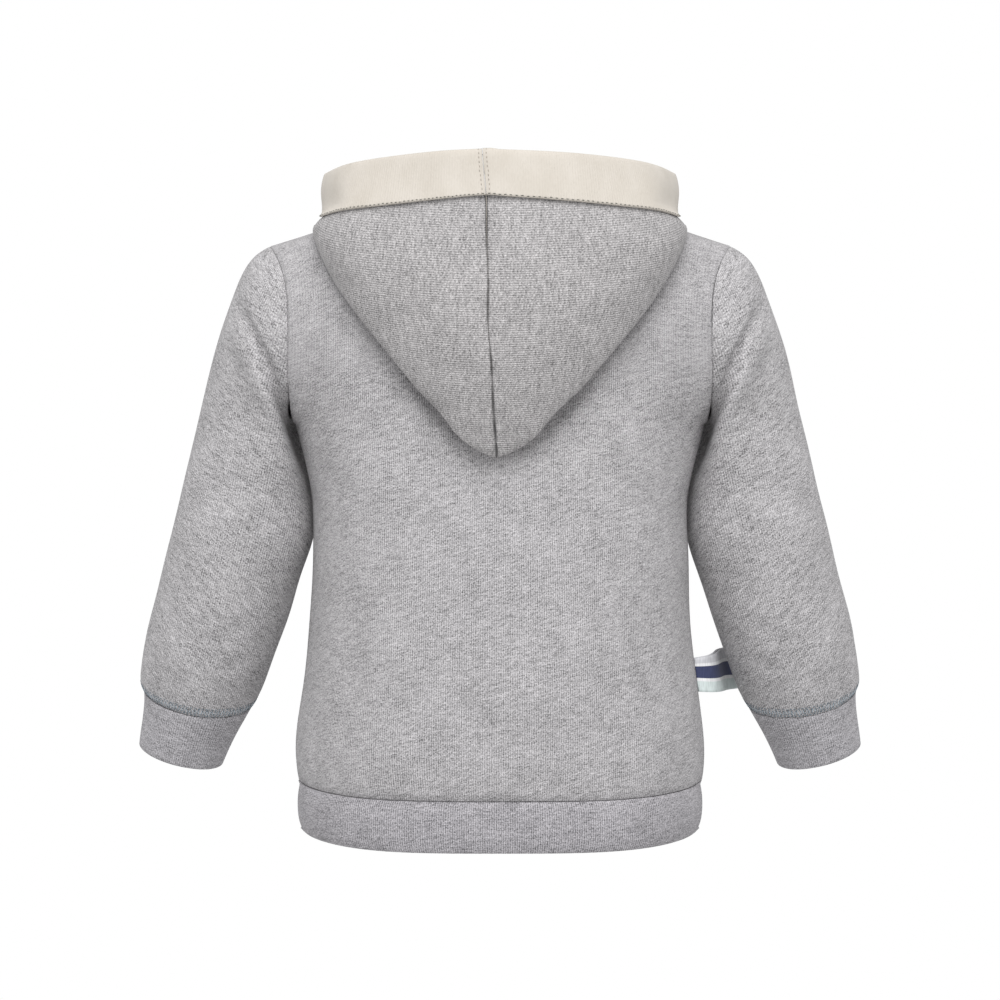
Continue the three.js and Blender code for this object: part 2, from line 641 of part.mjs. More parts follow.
function tabPoint(place, side) {
  const out = tabColumn.out(place + 0.01) - tabColumn.out(place - 0.01);
  const forward = tabColumn.forward(place + 0.01) - tabColumn.forward(place - 0.01);
  const length = Math.hypot(out, forward);
  const half = (side * (tabColumn.apart(place) + tabThickness)) / 2;
  const x = -tabColumn.out(place) + (half * forward) / length;
  const y = -tabColumn.forward(place) - (half * out) / length;
  return { x, y, normal: vec((side * forward) / length, (-side * out) / length, 0) };
}

function tabWall() {
  const path = [];
  for (let c = 0; c <= tabSteps; c += 1) path.push({ place: c / tabSteps, ...tabPoint(c / tabSteps, 1) });
  const turn = path.at(-1);
  const back = tabPoint(1, -1);
  const centre = vec((turn.x + back.x) / 2, (turn.y + back.y) / 2, 0);
  const radius = Math.hypot(turn.x - back.x, turn.y - back.y) / 2;
  const onward = turn.normal.clone().cross(vec(0, 0, -1));
  if (onward.y > 0) onward.negate();
  for (let c = 1; c < turnSteps; c += 1) {
    const angle = (Math.PI * c) / turnSteps;
    const normal = turn.normal.clone().multiplyScalar(Math.cos(angle));
    normal.addScaledVector(onward, Math.sin(angle));
    path.push({ place: 1, x: centre.x + radius * normal.x, y: centre.y + radius * normal.y, normal });
  }
  for (let c = tabSteps; c >= 0; c -= 1) path.push({ place: c / tabSteps, ...tabPoint(c / tabSteps, -1) });
  const layer = (depth) => Array.from({ length: tabRows + 1 }, (_, r) => path.map((p) => {
    const z = lerp(tabColumn.low(p.place), tabColumn.high(p.place), r / tabRows);
    return vec(p.x - bodyHalfWidth(z) - tabSeat, p.y, z).addScaledVector(p.normal, -depth);
  }));
  return { outer: layer(0), inner: layer(tabThickness) };
}

const panels = ['front', 'back'].map((face) => {
  const grid = panelGrid(face);
  return { face, grid, normals: panelNormals(face, grid) };
});

const group = new THREE.Group();

function addPiece(name, colour, outer, inner, closedAround) {
  const material = new THREE.MeshStandardMaterial({ color: colour, roughness: 0.92, metalness: 0 });
  const mesh = new THREE.Mesh(wallGeometry(outer, inner, closedAround), material);
  mesh.name = name;
  group.add(mesh);
}

function addPair(name, colour, wall, closedAround) {
  addPiece(`${name}_left`, colour, wall.outer, wall.inner, closedAround);
  addPiece(`${name}_right`, colour, mirrorX(wall.outer), mirrorX(wall.inner), closedAround);
}

const { hood, band } = hoodPieces(panels);
addPair('hood', colours.hood, hood, false);
addPair('hood_band', colours.cream, band, false);
for (const { face, grid, normals } of panels) {
  addPiece(`${face}_panel`, colours.jersey, grid, inwards(grid, normals, wallThickness), false);
}
addPair('sleeve', colours.jersey, sleeveWall(), true);
addPair('cuff', colours.rib, cuffWall(), true);
const hem = hemWall();
addPiece('hem_band', colours.rib, hem.outer, hem.inner, true);

const tab = tabWall();
addPiece('side_tab', colours.ribbon, tab.outer, tab.inner, false);

export default group;
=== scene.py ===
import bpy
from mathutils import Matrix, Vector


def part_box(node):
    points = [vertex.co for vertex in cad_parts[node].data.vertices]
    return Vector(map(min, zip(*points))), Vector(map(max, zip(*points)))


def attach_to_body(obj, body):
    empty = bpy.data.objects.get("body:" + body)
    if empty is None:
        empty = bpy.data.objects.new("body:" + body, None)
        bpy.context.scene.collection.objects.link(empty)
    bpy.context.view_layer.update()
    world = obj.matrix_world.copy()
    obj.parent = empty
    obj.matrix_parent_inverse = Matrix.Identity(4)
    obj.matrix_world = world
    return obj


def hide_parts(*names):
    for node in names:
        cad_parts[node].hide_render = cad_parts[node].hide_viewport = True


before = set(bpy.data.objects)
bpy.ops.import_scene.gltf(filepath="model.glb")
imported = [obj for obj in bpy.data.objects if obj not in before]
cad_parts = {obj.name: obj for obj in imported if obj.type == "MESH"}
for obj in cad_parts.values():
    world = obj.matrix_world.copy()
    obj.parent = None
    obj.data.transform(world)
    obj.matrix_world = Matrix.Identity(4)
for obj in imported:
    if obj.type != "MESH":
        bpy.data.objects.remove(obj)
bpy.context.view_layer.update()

import math

import bmesh
import bpy
import numpy
from mathutils import Matrix, Vector
from mathutils.bvhtree import BVHTree

# Toddler hoodie seen from the back, +Z up, back towards +Y. Tables are in millimetres.
mm = 0.001


class Wire:
    # a socket that takes part in sums; each sum adds its Math node
    def __init__(self, socket):
        self.socket = socket

    def math(self, operation, *values):
        return self.add("ShaderNodeMath", {"operation": operation}, dict(enumerate(values)))

    def add(self, kind, settings=None, inputs=None, out=0):
        # any other node: its settings first, then the values or links of its sockets
        tree = self.socket.id_data
        node = tree.nodes.new(kind)
        for name, value in (settings or {}).items():
            if name == "stops":
                setStops(node.color_ramp, value)
            else:
                setattr(node, name, value)
        for name, value in (inputs or {}).items():
            if isinstance(value, Wire):
                tree.links.new(value.socket, node.inputs[name])
            else:
                node.inputs[name].default_value = value
        return Wire(node.outputs[out])

    def __add__(self, other):
        return self.math("ADD", self, other)

    def __sub__(self, other):
        return self.math("SUBTRACT", self, other)

    def __mul__(self, other):
        return self.math("MULTIPLY", self, other)

    def __radd__(self, other):
        return self.math("ADD", other, self)

    def __rsub__(self, other):
        return self.math("SUBTRACT", other, self)

    def __rmul__(self, other):
        return self.math("MULTIPLY", other, self)

    def between(self, low, high):
        # 0 at low, 1 at high, smooth on the way
        return self.add("ShaderNodeMapRange", {"interpolation_type": "SMOOTHSTEP"},
                        {"Value": self, "From Min": low, "From Max": high})

    def blend(self, first, second):
        # the colour between two, by this value
        return self.add("ShaderNodeMix", {"data_type": "RGBA"}, {0: self, 6: first, 7: second}, out=2)


def setStops(ramp, stops):
    while len(ramp.elements) < len(stops):
        ramp.elements.new(1)
    for element, (place, colour) in zip(ramp.elements, stops):
        element.position = place
        element.color = (*colour, 1)


def newMaterial(name, roughness, sheen):
    material = bpy.data.materials.new(name)
    material.use_nodes = True
    shader = material.node_tree.nodes["Principled BSDF"]
    shader.inputs["Roughness"].default_value = roughness
    shader.inputs["Sheen Weight"].default_value = sheen
    shader.inputs["Sheen Roughness"].default_value = 0.5
    shader.inputs["Specular IOR Level"].default_value = 0.2
    start = material.node_tree.nodes.new("ShaderNodeTexCoord")
    return material, shader, Wire(start.outputs["Object"])


def attach(material, shader, name, wire):
    material.node_tree.links.new(wire.socket, shader.inputs[name])


melange = {
    # dark and light fibre, the turn of the courses in degrees, and how strong the wales are
    "jersey": {"dark": (0.114, 0.112, 0.114), "light": (0.604, 0.587, 0.601), "turn": 14, "wale": 1.1},
    "hoodCloth": {"dark": (0.131, 0.127, 0.128), "light": (0.546, 0.529, 0.531), "turn": 4, "wale": 0.8},
    "sleeveCloth": {"dark": (0.083, 0.081, 0.083), "light": (0.628, 0.612, 0.624), "turn": 24, "wale": 0.6},
    "ribBand": {"dark": (0.096, 0.094, 0.100), "light": (0.530, 0.512, 0.538), "turn": 6, "wale": 1.3},
    "cuffCloth": {"dark": (0.104, 0.102, 0.108), "light": (0.586, 0.570, 0.596), "turn": 6, "wale": 0.9},
}
knit = {
    "walePitch": 1.28,      # mm from one column of stitches to the next
    "waleWander": 0.5,      # how far a wale strays, as a share of a turn
    "fleckScale": (330, 1150, 1),
    "fleck": 1.1,
    "grainScale": (1350, 1150, 1),
    "grain": 1.5,
    "streakScale": (110, 360, 1),
    "streak": 0.5,
    "cloudScale": 42,
    "cloud": 0.3,
    "warpScale": 22,
    "warp": 0.006,
    "seamPaintedShade": 0.85,      # how far the colour darkens beside a seam: painted shade for the shadow along it
    "seamFrom": 0.81,       # and at which values of "seam" that begins and is full
    "seamFull": 0.93,
}
cream = {
    "dark": (0.455, 0.418, 0.365),
    "light": (0.562, 0.524, 0.476),
    "grainScale": (900, 420, 1),
    "grain": 0.4,
    "cloudScale": (70, 40, 1),
    "cloud": 1.1,
    "wale": 0.02,
}


def acrossAndAlong(place, turn=0):
    # the piece's own knit coordinates in metres: X across the wales, Y along them
    flat = place.add("ShaderNodeUVMap", {"uv_map": "knit"})
    if not turn:
        return flat
    warpInputs = {"Vector": flat, "Scale": knit["warpScale"], "Detail": 1}
    warpMap = flat.add("ShaderNodeTexNoise", {}, warpInputs, out=1)
    centred = warpMap.add("ShaderNodeVectorMath", {"operation": "SUBTRACT"}, {0: warpMap, 1: (0.5, 0.5, 0.5)})
    strayed = centred.add("ShaderNodeVectorMath", {"operation": "MULTIPLY_ADD"},
                          {0: centred, 1: (knit["warp"],) * 3, 2: flat})
    return strayed.add("ShaderNodeMapping", {}, {"Vector": strayed, "Rotation": (0, 0, math.radians(turn))})


def noiseOn(vector, scale, detail, roughness=0.5):
    stretched = vector.add("ShaderNodeMapping", {}, {"Vector": vector, "Scale": scale})
    return stretched.add("ShaderNodeTexNoise", {}, {"Vector": stretched, "Scale": 1, "Detail": detail,
                                                    "Roughness": roughness})


def waleWave(flat, grain):
    # columns of stitches, each straying a little
    across = flat.add("ShaderNodeSeparateXYZ", {}, {0: flat})
    turns = across * (2000 * math.pi / knit["walePitch"]) + grain * (2 * math.pi * knit["waleWander"])
    return turns.math("SINE", turns)


def melangeKnit(name):
    # grey melange: dark and light fibres drawn out along the courses, fine wales across them
    look = melange[name]
    material, shader, place = newMaterial(name, roughness=0.95, sheen=0.12)
    flat = acrossAndAlong(place)
    courses = acrossAndAlong(place, look["turn"])
    fleck = noiseOn(courses, knit["fleckScale"], 2, 0.6)
    grain = noiseOn(flat, knit["grainScale"], 1)
    streak = noiseOn(courses, knit["streakScale"], 1)
    cloud = noiseOn(flat, (knit["cloudScale"],) * 3, 2)
    wale = waleWave(flat, fleck)
    fibre = knit["fleck"] * (fleck - 0.5) + knit["grain"] * (grain - 0.5) + knit["streak"] * (streak - 0.5)
    tone = 0.5 + fibre + (0.14 * look["wale"]) * wale + knit["cloud"] * (cloud - 0.5)
    colour = tone.blend((*look["dark"], 1), (*look["light"], 1))
    # the cloth is drawn in beside a marked seam; its shadow there is painted shade, the colour darkening
    # right beside the seam
    seam = place.add("ShaderNodeAttribute", {"attribute_name": "seam"}, out=2) + 0.05 * (grain - 0.5)
    shade = knit["seamPaintedShade"] * seam.between(knit["seamFrom"], knit["seamFull"])
    # painted shade: towards half the dark fibre colour, right at the seam
    colour = shade.blend(colour, (*[c * 0.5 for c in look["dark"]], 1))
    attach(material, shader, "Base Color", colour)
    bump = wale.add("ShaderNodeBump", {}, {"Height": 0.6 * wale + 1.6 * fleck + grain, "Strength": 0.5,
                                           "Distance": 0.00035})
    attach(material, shader, "Normal", bump)
    return material


def creamKnit():
    # off-white jersey: fine wales across the band and a faint warm mottling
    material, shader, place = newMaterial("creamCloth", roughness=0.92, sheen=0.15)
    flat = acrossAndAlong(place)
    grain = noiseOn(flat, cream["grainScale"], 2)
    cloud = noiseOn(flat, cream["cloudScale"], 2)
    wale = waleWave(flat, grain)
    tone = 0.5 + cream["grain"] * (grain - 0.5) + cream["cloud"] * (cloud - 0.5) + cream["wale"] * wale
    colour = tone.blend((*cream["dark"], 1), (*cream["light"], 1))
    attach(material, shader, "Base Color", colour)
    bump = wale.add("ShaderNodeBump", {}, {"Height": 0.35 * wale + 2 * grain, "Strength": 0.4,
                                           "Distance": 0.0003})
    attach(material, shader, "Normal", bump)
    return material


def threadMaterial(name, colour):
    material, shader, place = newMaterial(name, roughness=0.7, sheen=0.1)
    ply = place.add("ShaderNodeTexNoise", {}, {"Vector": place, "Scale": 1500, "Detail": 1})
    shade = ply.between(0.3, 0.7).blend((*[c * 0.7 for c in colour], 1), (*colour, 1))
    attach(material, shader, "Base Color", shade)
    return material


ribbon = {
    "centre": (-130, -20, -280),
    "drop": 1.2,
    "tilt": 0.0044,     # the lower stripes lie flatter than the upper ones, turned about this X
    "tiltX": -131.5,
    "tiltFull": 0.4,    # share of the height up to which the tilt is full, and where it ends
    "tiltEnd": 0.83,
    # lower edge of each stripe as a share of the tab's height, and its colour
    "stripes": [
        (0.0, (0.69, 0.77, 0.76)),
        (0.33, (0.88, 0.88, 0.89)),
        (0.405, (0.054, 0.064, 0.138)),
        (0.70, (0.88, 0.88, 0.89)),
        (0.775, (0.66, 0.66, 0.69)),
    ],
}


def ribbonMaterial():
    material, shader, place = newMaterial("ribbonStripes", roughness=0.8, sheen=0.05)
    height = place.add("ShaderNodeAttribute", {"attribute_name": "height"}, out=2)
    stripe = height.add("ShaderNodeValToRGB", {"stops": ribbon["stripes"]}, {"Fac": height})
    stripe.socket.node.color_ramp.interpolation = "CONSTANT"
    weft = noiseOn(place, (800, 800, 170), 2)
    shade = weft.between(0.2, 0.8).blend((0.74, 0.74, 0.74, 1), (1, 1, 1, 1))
    colour = shade.add("ShaderNodeMix", {"data_type": "RGBA", "blend_type": "MULTIPLY"},
                       {0: 1.0, 6: stripe, 7: shade}, out=2)
    attach(material, shader, "Base Color", colour)
    bump = weft.add("ShaderNodeBump", {}, {"Height": weft, "Strength": 0.3, "Distance": 0.0003})
    attach(material, shader, "Normal", bump)
    return material


threads = {
    "darkThread": (0.075, 0.078, 0.068),
    "tealThread": (0.115, 0.165, 0.205),
    "paleThread": (0.42, 0.48, 0.53),
    "creamThread": (0.33, 0.29, 0.245),
}
materials = {name: melangeKnit(name) for name in melange}
materials["cream"] = creamKnit()
materials["ribbon"] = ribbonMaterial()
for name, colour in threads.items():
    materials[name] = threadMaterial(name, colour)
print("materials ready")


cloth = {
    "sharpAngle": 50,     # degrees, edges of a wall
    "edgeCrease": 0.86,   # how tightly the edges of the cloth turn
    "cornerAngle": 30,    # degrees, where an edge turns a corner and is kept there
}


def mergedCopy(node):
    # a copy of a node with its doubles merged and its triangles paired
    bm = bmesh.new()
    bm.from_mesh(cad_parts[node].data)
    bmesh.ops.remove_doubles(bm, verts=bm.verts, dist=0.02 * mm)
    bmesh.ops.join_triangles(bm, faces=bm.faces, angle_face_threshold=math.radians(40),
                             angle_shape_threshold=math.radians(70))
    bm.normal_update()
    return bm


def isSharp(edge):
    return len(edge.link_faces) == 2 and edge.calc_face_angle() > math.radians(cloth["sharpAngle"])


def isCorner(vert):
    # where walls' edges meet, or where one edge turns sharply
    ways = [edge.other_vert(vert).co - vert.co for edge in vert.link_edges if isSharp(edge)]
    if len(ways) == 2:
        return ways[0].angle(-ways[1], 0) > math.radians(cloth["cornerAngle"])
    return len(ways) > 2


def regions(bm):
    # faces grouped between the sharp edges, largest group first
    found, seen = [], set()
    for start in bm.faces:
        if start in seen:
            continue
        group, queue = [], [start]
        seen.add(start)
        while queue:
            face = queue.pop()
            group.append(face)
            for edge in face.edges:
                if isSharp(edge):
                    continue
                for other in edge.link_faces:
                    if other not in seen:
                        seen.add(other)
                        queue.append(other)
        found.append(group)
    return sorted(found, key=lambda g: -sum(f.calc_area() for f in g))


def outerAndInner(bm, centre):
    # the outer wall is the one that lies further from the centre
    walls = regions(bm)[:2]

    def reach(group):
        area = sum(f.calc_area() for f in group)
        return sum((f.calc_center_median() - centre).dot(f.normal) * f.calc_area() for f in group) / area
    walls.sort(key=reach, reverse=True)
    return walls


def storeOutward(bm, outer, inner):
    # the way out of the garment, the same for both walls, for the folds to follow
    layer = bm.verts.layers.float_vector.new("outward")
    for group, sign in ((outer, 1), (inner, -1)):
        for face in group:
            for vert in face.verts:
                vert[layer] = vert[layer] + face.normal * (sign * face.calc_area())
    for vert in bm.verts:
        vert[layer] = vert[layer].normalized()


def makeObject(name, bm):
    mesh = bpy.data.meshes.new(name)
    bm.to_mesh(mesh)
    bm.free()
    obj = bpy.data.objects.new(name, mesh)
    bpy.context.scene.collection.objects.link(obj)
    return obj


def smoothed(obj, levels):
    # subdivision applied, so that the folds move its fine points
    subsurf = obj.modifiers.new("Subdivision", "SUBSURF")
    subsurf.levels = subsurf.render_levels = levels
    graph = bpy.context.evaluated_depsgraph_get()
    fine = bpy.data.meshes.new_from_object(obj.evaluated_get(graph), preserve_all_data_layers=True,
                                           depsgraph=graph)
    obj.modifiers.clear()
    obj.data = fine
    for polygon in fine.polygons:
        polygon.use_smooth = True


def clothPiece(name, node, centre, walls, levels=2):
    # walls: the materials of the outer and the inner wall
    bm = mergedCopy(node)
    outer, inner = outerAndInner(bm, Vector(centre) * mm)
    storeOutward(bm, outer, inner)
    for face in bm.faces:
        face.material_index = 0
    for face in inner:
        face.material_index = 1
    crease = bm.edges.layers.float.new("crease_edge")
    corner = bm.verts.layers.float.new("crease_vert")
    for edge in bm.edges:
        if isSharp(edge):
            edge[crease] = cloth["edgeCrease"]
    for vert in bm.verts:
        if isCorner(vert):
            vert[corner] = 1
    quads = sum(len(f.verts) == 4 for f in bm.faces)
    obj = makeObject(name, bm)
    for wall in walls:
        obj.data.materials.append(materials[wall])
    smoothed(obj, levels)
    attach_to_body(obj, "root")
    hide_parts(node)
    print("cloth", name, "quads", quads, "points", len(obj.data.vertices))
    return obj


def points(obj, attribute=None):
    data = numpy.empty(len(obj.data.vertices) * 3)
    if attribute:
        obj.data.attributes[attribute].data.foreach_get("vector", data)
    else:
        obj.data.vertices.foreach_get("co", data)
    return data.reshape(-1, 3) / (1 if attribute else mm)


def pathField(at, path):
    # distance of each place from a drawn path, and the share of the way along it
    lengths = [math.dist(a, b) for a, b in zip(path, path[1:])]
    nearest = numpy.full(len(at), 1e9)
    share = numpy.zeros(len(at))
    gone = 0
    for a, b, length in zip(path, path[1:], lengths):
        a, step = numpy.array(a), numpy.array(b) - numpy.array(a)
        t = numpy.clip((at - a) @ step / length ** 2, 0, 1)
        away = numpy.linalg.norm(at - a - t[:, None] * step, axis=1)
        closer = away < nearest
        nearest[closer] = away[closer]
        share[closer] = ((gone + t * length) / sum(lengths))[closer]
        gone += length
    return nearest, share


def unitOutward(obj):
    out = points(obj, "outward")
    return out / numpy.maximum(numpy.linalg.norm(out, axis=1), 1e-6)[:, None]


def moveTo(obj, co):
    obj.data.vertices.foreach_set("co", (co * mm).ravel())
    obj.data.update()


def addFolds(obj, folds, facing):
    # soft troughs (depth over 0) and ridges (under 0), drawn in the X and Z of the back view;
    # facing is how far a place is to the back, in mm, and side -1 puts a fold on the front
    co = points(obj)
    depth = numpy.zeros(len(co))
    facing = facing(co)
    for fold in folds:
        away, share = pathField(co[:, [0, 2]], fold["path"])
        fade = numpy.sin(math.pi * numpy.clip(share, 0.03, 0.97)) ** 0.6
        mask = numpy.clip(facing * fold.get("side", 1) / 8 + 0.3, 0, 1)
        depth += fold["depth"] * fade * mask * numpy.exp(-(away / fold["halfWidth"]) ** 2)
    moveTo(obj, co - unitOutward(obj) * depth[:, None])


def eased(share):
    return share * share * (3 - 2 * share)


def swells(co, size, seed):
    # a smooth uneven field of about -1 to 1: seeded waves in many directions
    dice = numpy.random.RandomState(seed)
    ways = dice.normal(size=(9, 3))
    ways *= (2 * math.pi / size * dice.uniform(0.6, 1.5, 9) / numpy.linalg.norm(ways, axis=1))[:, None]
    return numpy.sin(co @ ways.T + dice.uniform(0, 7, 9)).sum(axis=1) / 4


def addUnevenness(obj, height, size, seed):
    # cloth is never quite even: broad, very low swells
    co = points(obj)
    moveTo(obj, co + unitOutward(obj) * (height * swells(co, size, seed))[:, None])


def outerRuns(node, centre):
    # the edges of a piece's outer wall between its corners, longest first:
    # for each place on a run also the way in over the wall and the wall's normal
    bm = mergedCopy(node)
    outer, _ = outerAndInner(bm, Vector(centre) * mm)
    wall = set(outer)
    rim = [e for e in bm.edges if sum(f in wall for f in e.link_faces) == 1]
    runs = []
    while rim:
        edge = rim.pop()
        loop = [edge.verts[0], edge.verts[1]]
        while True:
            follow = [e for e in loop[-1].link_edges if e in rim]
            if not follow:
                break
            rim.remove(follow[0])
            loop.append(follow[0].other_vert(loop[-1]))
        if loop[0] is loop[-1]:
            loop.pop()
        stops = []
        for vert in loop:
            faces = [f for f in vert.link_faces if f in wall]
            normal = sum((f.normal for f in faces), Vector()).normalized()
            way = sum((f.calc_center_median() - vert.co for f in faces), Vector())
            stops.append((vert.co.copy(), way, normal))
        corners = [i for i, (at, _, _) in enumerate(stops)
                   if (at - stops[i - 1][0]).angle(stops[(i + 1) % len(stops)][0] - at, 0)
                   > math.radians(cloth["sharpAngle"])]
        if not corners:
            runs.append(stops + stops[:1])
        for a, b in zip(corners, corners[1:] + corners[:1]):
            b = b if b > a else b + len(stops)
            runs.append([stops[i % len(stops)] for i in range(a, b + 1)])
    bm.free()
    return sorted(runs, key=lambda r: -sum((b[0] - a[0]).length for a, b in zip(r, r[1:])))


def alongRun(run, spacing, start=0.0):
    # evenly spaced places on a run: where, ahead, inward
    places, gone, due = [], 0.0, start
    for (a, wayA, normalA), (b, wayB, normalB) in zip(run, run[1:]):
        length = (b - a).length
        while due <= gone + length and length > 0:
            t = (due - gone) / length
            ahead = (b - a).normalized()
            inward = normalA.lerp(normalB, t).cross(ahead).normalized()
            if inward.dot(wayA.lerp(wayB, t)) < 0:
                inward = -inward
            places.append((a.lerp(b, t), ahead, inward))
            due += spacing
        gone += length
    return places


def awayFrom(co, runs, spacing):
    # distance in mm of each point from the nearest place on the runs
    nearest = numpy.full(len(co), 1e9)
    for run in runs:
        for at, _, _ in alongRun(run, spacing * mm):
            nearest = numpy.minimum(nearest, ((co - numpy.array(at) / mm) ** 2).sum(axis=1))
    return numpy.sqrt(nearest)


def addPuckers(obj, run, height, reach, size, seed):
    # cloth beside a seam is drawn in unevenly, by about height and as far as reach;
    # size is that of one pucker
    co = points(obj)
    away = awayFrom(co, [run], 1.5)
    near = numpy.flatnonzero(away < 3 * reach)
    depth = height * (0.4 + 0.5 * swells(co[near], size, seed)) * numpy.exp(-away[near] / reach)
    co[near] -= unitOutward(obj)[near] * depth[:, None]
    moveTo(obj, co)


def markSeam(obj, runs, reach=6):
    # 1 at a seam, falling to 0 at the reach in mm: the mask for the painted shade beside the seam
    away = awayFrom(points(obj), runs, 1)
    seam = obj.data.attributes.new("seam", "FLOAT", "POINT")
    seam.data.foreach_set("value", numpy.clip(1 - away / reach, 0, 1))


girth = {
    "halfWidth": 118,
    "depth": 74.5,
    "power": 3.6,
    "roundness": 0.72,
    "armholeZ": -104,       # from here up the wales bend over the shoulders
    "shoulderTurn": 92,     # mm of cloth for each radian of that bend
    "straightFrom": -160,   # and from here up, over the next 50 mm, they run straight up
    "straightOver": 50,
    "hoodAxis": -40,        # Y of the line that the hood and its band are wound round
    "hoodRadius": 110,
    "bandRadius": 118,
}


def lengthsAround(steps=400):
    # angle from the middle of the back to the side, and the length of cloth up to it
    share = numpy.sin(numpy.linspace(0, math.pi / 2, steps))
    x = share * girth["halfWidth"]
    y = girth["depth"] * (1 - share ** girth["power"]) ** girth["roundness"]
    length = numpy.concatenate([[0], numpy.cumsum(numpy.hypot(numpy.diff(x), numpy.diff(y)))])
    return numpy.arctan2(x / girth["halfWidth"], y / girth["depth"]), length


def aroundBody(co):
    angles, lengths = lengthsAround()
    angle = numpy.arctan2(numpy.abs(co[:, 0]) / girth["halfWidth"], numpy.abs(co[:, 1]) / girth["depth"])
    across = numpy.sign(co[:, 0]) * numpy.interp(angle, angles, lengths)
    return numpy.stack([across, co[:, 2]], axis=1)


def overBody(co):
    # as aroundBody; above the armholes the wales run straight up and over the shoulders
    rise = numpy.clip(co[:, 2] - girth["armholeZ"], 0, -girth["armholeZ"])
    bend = girth["shoulderTurn"] * numpy.arctan2(rise, numpy.abs(co[:, 1]) + 1)
    along = numpy.where(rise > 0, girth["armholeZ"] + bend, co[:, 2])
    straight = co[:, 0] * (1 + 0.1 * numpy.minimum(numpy.abs(co[:, 0]) / girth["halfWidth"], 1.2) ** 3)
    share = eased(numpy.clip((co[:, 2] - girth["straightFrom"]) / girth["straightOver"], 0, 1))
    across = aroundBody(co)[:, 0] * (1 - share) + straight * share
    return numpy.stack([across, along], axis=1)


def lengthsAlong(line):
    return numpy.concatenate([[0], numpy.cumsum(numpy.linalg.norm(numpy.diff(line, axis=0), axis=1))])


def onLine(along, line, lengths):
    along = numpy.clip(along, 0, lengths[-1])
    return numpy.stack([numpy.interp(along, lengths, column) for column in line.T], axis=1)


def aroundAxis(axis, radius, count=90, passes=30):
    # round a sleeve and down along its smoothed axis; the join is at the inner side
    axis = numpy.array(axis, float)
    lengths = lengthsAlong(axis)
    axis = onLine(numpy.linspace(0, lengths[-1], count), axis, lengths)
    for _ in range(passes):
        axis[1:-1] = (axis[:-2] + 2 * axis[1:-1] + axis[2:]) / 4

    def place(co):
        path = numpy.abs(co[:, [0]]) * [1, 0, 0] + co * [0, 1, 1]
        flatAxis = axis[:, [0, 2]]
        _, share = pathField(path[:, [0, 2]], flatAxis.tolist())
        lengths = lengthsAlong(flatAxis)
        along = share * lengths[-1]
        off = path - onLine(along, axis, lengths)
        ahead = onLine(along + 4, flatAxis, lengths) - onLine(along - 4, flatAxis, lengths)
        ahead /= numpy.maximum(numpy.linalg.norm(ahead, axis=1), 1e-6)[:, None]
        outwards = off[:, 0] * -ahead[:, 1] + off[:, 2] * ahead[:, 0]
        turn = numpy.arctan2(off[:, 1], outwards)
        return numpy.stack([turn * radius, -along], axis=1)
    return place


def hoodGrain(co):
    # the hood's wales run across it, level with its face edge
    angle = numpy.arctan2(co[:, 0], co[:, 1] - girth["hoodAxis"])
    return numpy.stack([co[:, 2] + 0.35 * co[:, 1], angle * girth["hoodRadius"]], axis=1)


def bandGrain(co):
    angle = numpy.arctan2(co[:, 0], co[:, 1] - girth["hoodAxis"])
    return numpy.stack([angle * girth["bandRadius"], co[:, 2]], axis=1)


def storeKnit(obj, grain, period=0):
    # the knit coordinates as the piece's UV map, whole across a join
    at = grain(points(obj))
    mesh = obj.data
    corners = numpy.empty(len(mesh.loops), dtype=int)
    mesh.loops.foreach_get("vertex_index", corners)
    values = at[corners]
    if period:
        for polygon in mesh.polygons:
            own = slice(polygon.loop_start, polygon.loop_start + polygon.loop_total)
            if numpy.ptp(values[own, 0]) > period / 2:
                values[own, 0] += numpy.where(values[own, 0] < 0, period, 0)
    while mesh.uv_layers:
        mesh.uv_layers.remove(mesh.uv_layers[0])
    mesh.uv_layers.new(name="knit").data.foreach_set("uv", (values * mm).ravel())


def onSide(centre, sign):
    x, y, z = centre
    return sign * x, y, z


def onBothSides(folds):
    return folds + [{**f, "path": [(-x, z) for x, z in f["path"]]} for f in folds]


